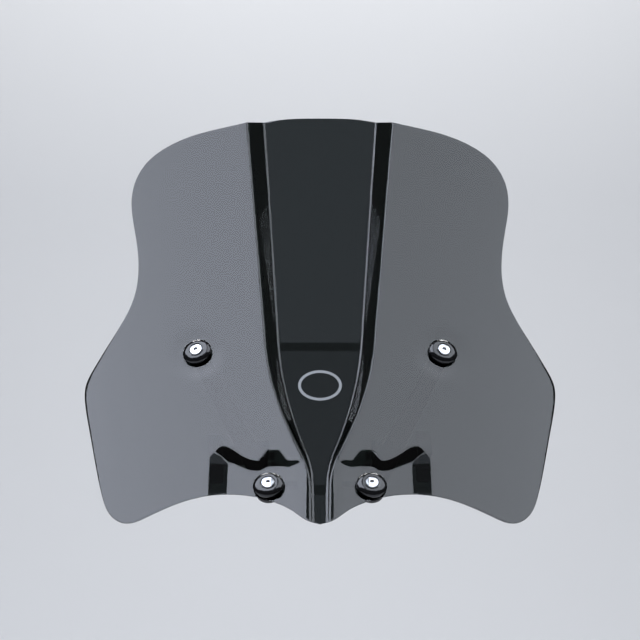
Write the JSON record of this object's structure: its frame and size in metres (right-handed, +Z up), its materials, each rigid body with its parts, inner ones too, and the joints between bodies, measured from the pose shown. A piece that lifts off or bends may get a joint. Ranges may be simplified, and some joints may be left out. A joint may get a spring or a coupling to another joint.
{
  "type": "motorcycle windshield screen",
  "caption": "Dark tinted motorcycle windshield with a waisted outline and a recessed centre channel, on a bracket with hand-knob tilt adjustment.",
  "frame": {"origin": "centre of the four bracket bolt holes, on the underside of the two bracket feet", "axes": "+X to the rider's left (the right-hand side seen from in front), +Y rearward towards the rider, +Z up; the outer face of the screen looks along -Y"},
  "size_m": [0.4406, 0.2574, 0.414],
  "materials": {
    "tinted_sheet": "hard-coated polycarbonate, dark grey tint, gloss",
    "foil": "thin silver foil",
    "gloss_black": "gloss moulded",
    "polished_steel": "polished stainless steel",
    "rubber": "soft matt",
    "zinc_steel": "zinc plated",
    "black_coat": "satin powder coat on steel plate",
    "bronze": "turned",
    "nylon": "matt",
    "knob_black": "moulded, fine texture"
  },
  "bodies": {
    "base": {"fixed_bracket_left": "black_coat", "pivot_bolt_left": "zinc_steel", "pivot_washer_left": "zinc_steel", "pivot_nut_left": "zinc_steel", "clamp_stud_left": "zinc_steel", "fixed_bracket_right": "black_coat", "pivot_bolt_right": "zinc_steel", "pivot_washer_right": "zinc_steel", "pivot_nut_right": "zinc_steel", "clamp_stud_right": "zinc_steel"},
    "screen": {"screen_sheet": "tinted_sheet", "badge": "foil", "screen_screw_left_upper": "polished_steel", "cup_washer_left_upper": "gloss_black", "grommet_left_upper": "rubber", "screen_nut_left_upper": "zinc_steel", "screen_screw_left_lower": "polished_steel", "cup_washer_left_lower": "gloss_black", "grommet_left_lower": "rubber", "screen_nut_left_lower": "zinc_steel", "screen_screw_right_upper": "polished_steel", "cup_washer_right_upper": "gloss_black", "grommet_right_upper": "rubber", "screen_nut_right_upper": "zinc_steel", "screen_screw_right_lower": "polished_steel", "cup_washer_right_lower": "gloss_black", "grommet_right_lower": "rubber", "screen_nut_right_lower": "zinc_steel", "screen_arm_left": "black_coat", "pivot_bush_left": "bronze", "screen_arm_right": "black_coat", "pivot_bush_right": "bronze"},
    "left_clamp": {"clamp_washer_left": "nylon"},
    "left_knob": {"knob_left": "knob_black", "knob_insert_left": "bronze"},
    "right_clamp": {"clamp_washer_right": "nylon"},
    "right_knob": {"knob_right": "knob_black", "knob_insert_right": "bronze"}
  },
  "joints": [
    {"name": "screen_tilt", "type": "hinge", "parent": "base", "child": "screen", "pos_m": [0, -0.057, 0.014], "axis": [1, 0, 0], "range_deg": [-7, 7]},
    {"name": "left_clamp_slide", "type": "slide", "parent": "base", "child": "left_clamp", "axis": [1, 0, 0], "range_m": [0, 0.0025]},
    {"name": "left_knob_turn", "type": "hinge", "parent": "left_clamp", "child": "left_knob", "pos_m": [0.075, -0.027, 0.027], "axis": [1, 0, 0], "range_deg": [0, 720]},
    {"name": "right_clamp_slide", "type": "slide", "parent": "base", "child": "right_clamp", "axis": [-1, 0, 0], "range_m": [0, 0.0025]},
    {"name": "right_knob_turn", "type": "hinge", "parent": "right_clamp", "child": "right_knob", "pos_m": [-0.075, -0.027, 0.027], "axis": [-1, 0, 0], "range_deg": [0, 720]}
  ],
  "couplings": [
    {"joint": "left_knob_turn", "follows": "left_clamp_slide", "rad_per_m": 5026.5},
    {"joint": "right_knob_turn", "follows": "right_clamp_slide", "rad_per_m": 5026.5}
  ]
}
